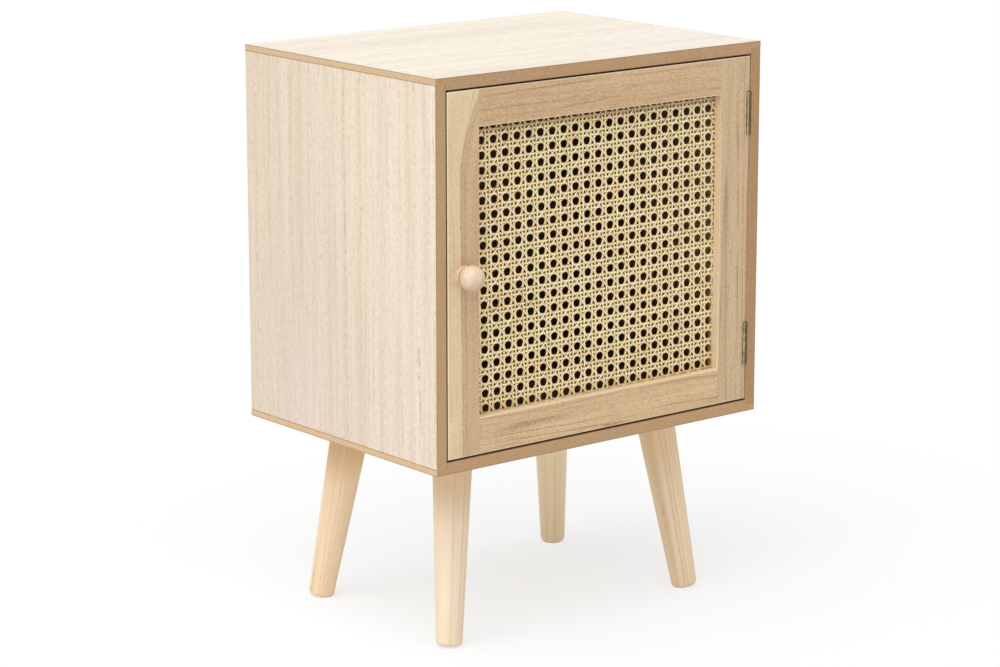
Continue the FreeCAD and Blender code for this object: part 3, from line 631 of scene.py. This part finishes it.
# %% Turned wood
def turned_wood(along, across, deep, seed, pale, dark, marks=1.0):
    """Pale turned wood and its relief: rings, streaks and rows of pores, as strong as the marks say."""
    sway = noise(vector_of(along, across, deep), (0.20, 0.04, 0.04), seed, 1)
    flat = vector_of(along, across + (sway - 0.5) * 0.004, deep)
    bands = noise(flat, (0.50, 0.007, 0.02), seed + 1, 2)
    rings = noise(flat, (4.0, 0.016, 0.08), seed + 2, 0) * 8
    ring = smooth(rings.math("FRACT", rings), 0.55, 0.99)
    streaks = noise(flat, (0.040, 0.0014, 0.004), seed + 3, 3)
    dots = noise(flat, (0.0045, 0.0016, 0.004), seed + 4, 2)
    patches = noise(flat, (0.10, 0.008, 0.02), seed + 5, 1)
    banded = mix(smooth(bands, 0.3, 0.7), dark, pale)
    ringed = mix(ring * (0.36 * marks), banded, tone(0.62, 0.43, 0.25))
    streaked = mix(smooth(streaks, 0.5, 0.8) * 0.28, ringed, tone(0.60, 0.42, 0.25))
    pores = smooth(ring, 0.6, 1.0) * smooth(dots, 0.46, 0.62) * smooth(patches, 0.42, 0.62)
    return mix(pores * (0.5 * marks), streaked, tone(0.45, 0.28, 0.14)), streaks


# %% Legs
LEG_RISE = 0.1833
LEG_SPREAD = 0.024
LEG_FOOT, LEG_TOP = 0.025, 0.039
LEG_ROUGHNESS = 0.5
SHADE_FROM, SHADE_FULL = 0.11, 0.165
UNDER_BOX = tone(0.55, 0.29, 0.09)


def leg_finish(leg, out_x, out_y, seed, pale, dark, marks, shade):
    """Turned wood whose grain follows one leg's lean and taper, in shade under the box."""
    material, shader, place, _ = start_finish(leg + "_wood")
    x, y, z = parts_of(place)
    low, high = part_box(leg)
    foot_x = low[0] + LEG_FOOT / 2 if out_x < 0 else high[0] - LEG_FOOT / 2
    foot_y = low[1] + LEG_FOOT / 2 if out_y < 0 else high[1] - LEG_FOOT / 2
    slim = (LEG_FOOT + LEG_TOP) / 2 / (LEG_FOOT + z * ((LEG_TOP - LEG_FOOT) / LEG_RISE))
    own_x = (x + z * (out_x * LEG_SPREAD / LEG_RISE) - foot_x) * slim * -out_x
    own_y = (y + z * (out_y * LEG_SPREAD / LEG_RISE) - foot_y) * slim
    grain, relief = turned_wood(z, own_x, own_y, seed, pale, dark, marks)
    darkened = mix(smooth(z, SHADE_FROM, SHADE_FULL) * shade, grain, UNDER_BOX)
    return finish_wood(material, shader, darkened, relief, LEG_ROUGHNESS)


LEG_TONES = {
    "leg_front_left": dict(
        out_x=-1, out_y=-1, seed=21.0, marks=0.9, shade=0.42,
        pale=tone(0.91, 0.75, 0.55), dark=tone(0.86, 0.695, 0.49),
    ),
    "leg_front_right": dict(
        out_x=1, out_y=-1, seed=32.0, marks=1.3, shade=0.22,
        pale=tone(0.88, 0.69, 0.468), dark=tone(0.83, 0.635, 0.412),
    ),
    "leg_back_left": dict(
        out_x=-1, out_y=1, seed=23.0, marks=0.8, shade=0.62,
        pale=tone(0.94, 0.72, 0.48), dark=tone(0.89, 0.665, 0.422),
    ),
    # The back right leg is paler, with fainter marks: painted light that lifts it in the shade under the box.
    "leg_back_right": dict(
        out_x=1, out_y=1, seed=24.0, marks=0.5, shade=0.22,
        pale=tone(1.0, 0.84, 0.57), dark=tone(1.0, 0.81, 0.54),
    ),
}
for leg, look in LEG_TONES.items():
    wear(nodes[leg], leg_finish(leg, **look))
print("legs finished:", len(LEG_TONES))

# %% [markdown]
# The knob is turned from pale wood too. It could have a pattern of its own, but the turned wood serves
# again, drawn finer and on a slant, because the ball is small and its grain doesn't stand upright. The side
# that looks down and to the right is toned darker, as it is on the real one, which the lamp doesn't reach
# there.

# %% Knob
KNOB_FINER = 2.2
KNOB_SLANT = 0.4
KNOB_TONES = (tone(0.82, 0.655, 0.487), tone(0.75, 0.58, 0.417))
KNOB_ROUGHNESS = 0.45
knob_wood, knob_shader, place, facing = start_finish("knob_wood")
x, y, z = parts_of(place)
along = (z + x * KNOB_SLANT) * KNOB_FINER
across = (x - z * KNOB_SLANT) * KNOB_FINER
deep = y * KNOB_FINER
grain, relief = turned_wood(along, across, deep, 31.0, *KNOB_TONES, marks=0.8)
way_x, _, way_z = parts_of(facing)
shaded = mix(smooth(way_x * 0.7 - way_z, -0.6, 1.0) * 0.6, grain, tone(0.42, 0.27, 0.16))
wear(nodes["knob"], finish_wood(knob_wood, knob_shader, shaded, relief, KNOB_ROUGHNESS))
print("knob finished:", knob_wood.name)

# %% [markdown]
# The hinges are brass that has gone dull and brown, and the hidden fixings are zinc plated steel. Both are
# metals whose colour and gloss change in small clouds.


# %% Metals and small fittings
def metal_finish(name, pale, dark, roughness, seed, side_shade=0.0):
    """A metal gone dull in clouds, with painted shade on what stands before the door, apart from its left."""
    material, shader, place, facing = start_finish(name)
    tarnish = noise(place, (0.004, 0.004, 0.004), seed, 4)
    dull = mix(smooth(tarnish, 0.35, 0.65), pale, dark)
    # Painted shade on the barrel's sides that face away from the lamp, in front of the door.
    side_shaded = smooth(parts_of(facing)[0], -0.62, -0.35) * smooth(parts_of(place)[1], FRONT + 0.001, FRONT)
    feed(shader, "Base Color", mix(side_shaded * side_shade, dull, tone(0.06, 0.04, 0.02)))
    feed(shader, "Metallic", 1.0)
    feed(shader, "Roughness", roughness + (tarnish - 0.5) * 0.3)
    return material


def plain_finish(name, pale, dark, roughness, seed):
    """An even finish of two close tones in small clouds."""
    material, shader, place, _ = start_finish(name)
    clouds = noise(place, (0.005, 0.005, 0.005), seed, 3)
    feed(shader, "Base Color", mix(smooth(clouds, 0.3, 0.7), pale, dark))
    feed(shader, "Roughness", roughness)
    return material


brass = metal_finish("aged_brass", tone(0.60, 0.465, 0.275), tone(0.33, 0.245, 0.135), 0.38, 41.0, 0.8)
zinc = metal_finish("zinc_steel", tone(0.66, 0.67, 0.69), tone(0.48, 0.49, 0.51), 0.35, 42.0)
ivory = plain_finish("catch_plastic", tone(0.85, 0.82, 0.76), tone(0.82, 0.79, 0.72), 0.4, 43.0)
ferrite = plain_finish("ferrite", tone(0.09, 0.09, 0.1), tone(0.07, 0.07, 0.08), 0.6, 44.0)
# The back is hardboard's own brown made darker still, as painted shade inside the box.
hardboard = plain_finish("hardboard", tone(0.23, 0.145, 0.085), tone(0.19, 0.118, 0.068), 0.6, 45.0)
FITTINGS = {
    "hinge_upper": brass,
    "hinge_lower": brass,
    "hinge_side_screws": brass,
    "hinge_door_screws": brass,
    "catch_housing": ivory,
    "catch_magnet": ferrite,
    "catch": zinc,
    "strike": zinc,
    "leg_bolt": zinc,
    "leg_tee": zinc,
    "back_panel_brads": zinc,
    "back_panel": hardboard,
    "knob_screw": zinc,
}
fitted = []
for name in nodes:
    start = next((start for start in FITTINGS if name.startswith(start)), None)
    if start:
        wear(nodes[name], FITTINGS[start])
        fitted.append(name)
print("fittings finished:", len(fitted))

# %% [markdown]
# The cane is woven from split rattan: upright pairs, level pairs, and two sets of diagonals that lock them.
# One cell of a strand is drawn by extruding its flat section along the wave that the weave gives it, an
# Array repeats it along its length and across the panel, and cuts at the rebate trim it. A real sheet is
# never quite square in its frame, so the steps along a row and up a column lean a little.

# %% Cane sizes
COLUMN = (0.01403, 0.00008)
ROW = (-0.00026, 0.01398)
FIRST_HOLE = (-0.1353, 0.2373)
PAIR = 0.150
STRAND = 0.0026
DIAGONAL = 0.0024
THICK = 0.00062
WAVE = 0.00048
DIAGONAL_WAVE = 0.00050
STEPS = 6
COLUMNS, ROWS = 25, 23
# Strands start this many columns or rows before the first hole, outside the rebate
BEFORE = -2.5
START_COLUMN, START_ROW = -3, -2
CANE_LOW, CANE_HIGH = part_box("cane_panel")
CANE_MIDDLE = (CANE_LOW[1] + CANE_HIGH[1]) / 2


def weave_spot(column, row):
    """X and Z of a place on the cane, counted in columns and rows from the middle of the first hole."""
    return [FIRST_HOLE[axis] + column * COLUMN[axis] + row * ROW[axis] for axis in (0, 1)]


# %% One cell of a strand
def draw_cell(name, column, row, way, lean, wave, width):
    """One pitch of a strand, extruded step by step from a flat section at its start."""
    bpy.ops.object.select_all(action="DESELECT")
    bpy.ops.mesh.primitive_circle_add(vertices=8, radius=0.5, fill_type="NOTHING")
    cell = bpy.context.object
    cell.name = name
    x, z = weave_spot(column, row)
    bpy.ops.object.mode_set(mode="EDIT")
    bpy.ops.mesh.select_all(action="SELECT")
    bpy.ops.transform.resize(value=(width, THICK, 1))
    bpy.ops.object.mode_set(mode="OBJECT")
    cell.rotation_euler = (0, radians(lean), 0)
    cell.location = (x, CANE_MIDDLE - wave(0), z)
    bpy.ops.object.transform_apply(location=True, rotation=True, scale=True)
    bpy.ops.object.mode_set(mode="EDIT")
    bpy.ops.mesh.select_all(action="SELECT")
    for step in range(STEPS):
        rise = wave((step + 1) / STEPS) - wave(step / STEPS)
        move = (way[0] / STEPS, -rise, way[1] / STEPS)
        bpy.ops.mesh.extrude_region_move(TRANSFORM_OT_translate={"value": move})
    bpy.ops.object.mode_set(mode="OBJECT")
    return cell


# %% Repeat, join and trim strands
JOIN_REACH = 0.00002


def repeat(piece, way, count, merge=False):
    """Repeats a piece along a way, and joins the copies end to end where they touch."""
    array = piece.modifiers.new("repeat", "ARRAY")
    array.use_relative_offset = False
    array.use_constant_offset = True
    array.constant_offset_displace = (way[0], 0, way[1])
    array.count = count
    array.use_merge_vertices = merge
    array.merge_threshold = JOIN_REACH
    bpy.context.view_layer.objects.active = piece
    bpy.ops.object.modifier_apply(modifier=array.name)


def join(name, pieces):
    """Joins strands into one piece."""
    bpy.ops.object.select_all(action="DESELECT")
    for piece in pieces:
        piece.select_set(True)
    bpy.context.view_layer.objects.active = pieces[0]
    bpy.ops.object.join()
    pieces[0].name = name
    return pieces[0]


def trim(piece):
    """Cuts strands off at the edges of the rebate and closes their ends."""
    bpy.context.view_layer.objects.active = piece
    bpy.ops.object.mode_set(mode="EDIT")
    for corner, outward in ((CANE_LOW, -1), (CANE_HIGH, 1)):
        for normal in ((outward, 0, 0), (0, 0, outward)):
            bpy.ops.mesh.select_all(action="SELECT")
            bpy.ops.mesh.bisect(plane_co=corner, plane_no=normal, clear_outer=True, use_fill=True)
    bpy.ops.mesh.select_all(action="SELECT")
    bpy.ops.mesh.normals_make_consistent(inside=False)
    bpy.ops.object.mode_set(mode="OBJECT")


# %% [markdown]
# Split cane is not as even as the steps above, so the whole sheet drifts by a few tenths of a millimetre.
# The same Clouds texture moves all four sets of strands, so what crosses before still crosses after.

# %% Drift
DRIFT_SIZE = 0.022
DRIFT_PULLS = (("X", 0.0014), ("Z", -0.0016))
drift = bpy.data.textures.new("cane_drift", "CLOUDS")
drift.noise_scale = DRIFT_SIZE


def pull_askew(piece):
    """Moves the strands sideways and up by a soft noise."""
    bpy.context.view_layer.objects.active = piece
    for axis, strength in DRIFT_PULLS:
        pull = piece.modifiers.new("drift", "DISPLACE")
        pull.texture = drift
        pull.texture_coords = "GLOBAL"
        pull.direction = axis
        pull.mid_level = 0.5
        pull.strength = strength
        bpy.ops.object.modifier_apply(modifier=pull.name)


# %% Weave the cane
UPWARDS = (COLUMN[0] + ROW[0], COLUMN[1] + ROW[1])
DOWNWARDS = (ROW[0] - COLUMN[0], ROW[1] - COLUMN[1])
STRAND_SMOOTH = radians(60)


def sine(size):
    """A wave that starts in the middle of the sheet."""
    return lambda part: size * sin(2 * pi * part)


def cosine(size):
    """A wave that starts at its crest."""
    return lambda part: size * cos(2 * pi * part)


uprights, levels = [], []
for side in (-1, 1):
    upright = draw_cell("upright", BEFORE + side * PAIR, START_ROW, ROW, 0, sine(-side * WAVE), STRAND)
    repeat(upright, ROW, ROWS, True)
    repeat(upright, COLUMN, COLUMNS)
    uprights.append(upright)
    level = draw_cell("level", START_COLUMN, BEFORE + side * PAIR, COLUMN, 90, sine(side * WAVE), STRAND)
    repeat(level, COLUMN, COLUMNS, True)
    repeat(level, ROW, ROWS)
    levels.append(level)
far_left = BEFORE - (ROWS - 1)
rising = draw_cell("cane_rising", far_left, START_ROW, UPWARDS, 45, cosine(-DIAGONAL_WAVE), DIAGONAL)
repeat(rising, UPWARDS, ROWS, True)
repeat(rising, COLUMN, COLUMNS + ROWS)
falling = draw_cell("cane_falling", BEFORE, START_ROW, DOWNWARDS, -45, cosine(DIAGONAL_WAVE), DIAGONAL)
repeat(falling, DOWNWARDS, ROWS, True)
repeat(falling, COLUMN, COLUMNS + ROWS)
weave = [join("cane_uprights", uprights), join("cane_levels", levels), rising, falling]
for strands in weave:
    pull_askew(strands)
    trim(strands)
    bpy.ops.object.shade_smooth_by_angle(angle=STRAND_SMOOTH)
    print(strands.name, "faces:", len(strands.data.polygons))


# %% [markdown]
# Each strand is split from another stem, so each has a tone of its own. The strand is counted from its
# place: the whole part of its count picks the tone, and the rest says how far across the strand a point is,
# where the edge gets painted shade and some stain, and the crown a painted highlight.


# %% Cane finish
def cane_finish(name, columns, rows, pair, width, seed, dull, first_dull):
    """Strands of their own tones, with a painted highlight on the crown, painted shade and stain at the
    edges, and stains.
    """
    material, shader, place, _ = start_finish(name)
    x, _, z = parts_of(place)
    area = COLUMN[0] * ROW[1] - COLUMN[1] * ROW[0]
    right, up = x - FIRST_HOLE[0], z - FIRST_HOLE[1]
    column = right * (ROW[1] / area) - up * (ROW[0] / area)
    row = up * (COLUMN[0] / area) - right * (COLUMN[1] / area)
    count = column * columns + row * rows
    part = count.math("FRACT", count) - 0.5
    across = abs(abs(part) - pair) * (2 * COLUMN[0] / width)
    second = smooth(part, -0.01, 0.01)
    strand = count.math("FLOOR", count) + second * (0.5 if pair else 0.0)
    own = count.add("ShaderNodeTexWhiteNoise", {"noise_dimensions": "1D"}, {"W": strand + seed}, give=1)
    red, green, _ = parts_of(own)
    lengths = vector_of(x, strand * 0.037, z)
    stain = noise(lengths, (0.022, 0.01, 0.022), seed, 2)
    shade = noise(lengths, (0.009, 0.01, 0.009), seed + 7, 2)
    aged = smooth(x, -0.06, -0.16) * 0.06 + smooth(z, 0.34, 0.23) * 0.05
    pale = mix(red, tone(1.0, 0.88, 0.48), tone(0.90, 0.64, 0.29))
    greenish = mix(smooth(green, 0.60, 0.95) * 0.7, pale, tone(0.76, 0.70, 0.27))
    stained = mix(smooth(stain + aged, 0.48, 0.66) * 0.75, greenish, tone(0.86, 0.52, 0.25))
    shaded = mix(smooth(shade, 0.50, 0.72) * 0.55, stained, tone(0.52, 0.32, 0.09))
    dulled = mix((1 - second) * first_dull + dull, shaded, tone(0.60, 0.44, 0.15))
    crown_highlight = smooth(across, 0.48, 0.08) * (1 - dull)
    # Painted shadow of the top rail's lip over the strands just under it; the coat is taken off there too.
    under = smooth(z, OPEN_HIGH - 0.0095, OPEN_HIGH - 0.0040)
    edge_shaded = mix(smooth(across, 0.55, 0.98) * 0.85, dulled, tone(0.28, 0.12, 0.01))
    crown_highlit = mix(crown_highlight * 0.9, edge_shaded, tone(1.0, 0.97, 0.74))
    # Darker and browner near the left and bottom of the opening: browner strands, and painted shade from the
    # frame's lip.
    beside = smooth(x, OPEN_LEFT + 0.018, OPEN_LEFT) + smooth(z, OPEN_LOW + 0.012, OPEN_LOW)
    browned_and_shaded = mix(beside * 0.3, crown_highlit, tone(0.45, 0.26, 0.09))
    feed(shader, "Base Color", mix(under * 0.5, browned_and_shaded, tone(0.20, 0.10, 0.03)))
    feed(shader, "Roughness", 0.34 + 0.25 * stain)
    feed(shader, "Specular IOR Level", 0.3)
    feed(shader, "Coat Weight", crown_highlight * (1 - under))
    feed(shader, "Coat Roughness", 0.3)
    return material


LEAN_SHARE = 0.7071
# The dull share darkens a set of strands and takes painted highlight off its crowns: most on the falling
# diagonals, as painted shade where they pass under the rising ones, less on the level pairs and the first
# upright of each pair.
CANE_LOOKS = (
    dict(columns=1, rows=0, pair=PAIR, width=STRAND, seed=51.0, dull=0.0, first_dull=0.35),
    dict(columns=0, rows=1, pair=PAIR, width=STRAND, seed=52.0, dull=0.12, first_dull=0.0),
    dict(columns=-1, rows=1, pair=0.0, width=DIAGONAL / LEAN_SHARE, seed=53.0, dull=0.0, first_dull=0.0),
    dict(columns=1, rows=1, pair=0.0, width=DIAGONAL / LEAN_SHARE, seed=54.0, dull=0.28, first_dull=0.0),
)
for strands, look in zip(weave, CANE_LOOKS):
    wear(strands, cane_finish(strands.name + "_tone", **look))
    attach(strands, "door")
    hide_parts("cane_panel")
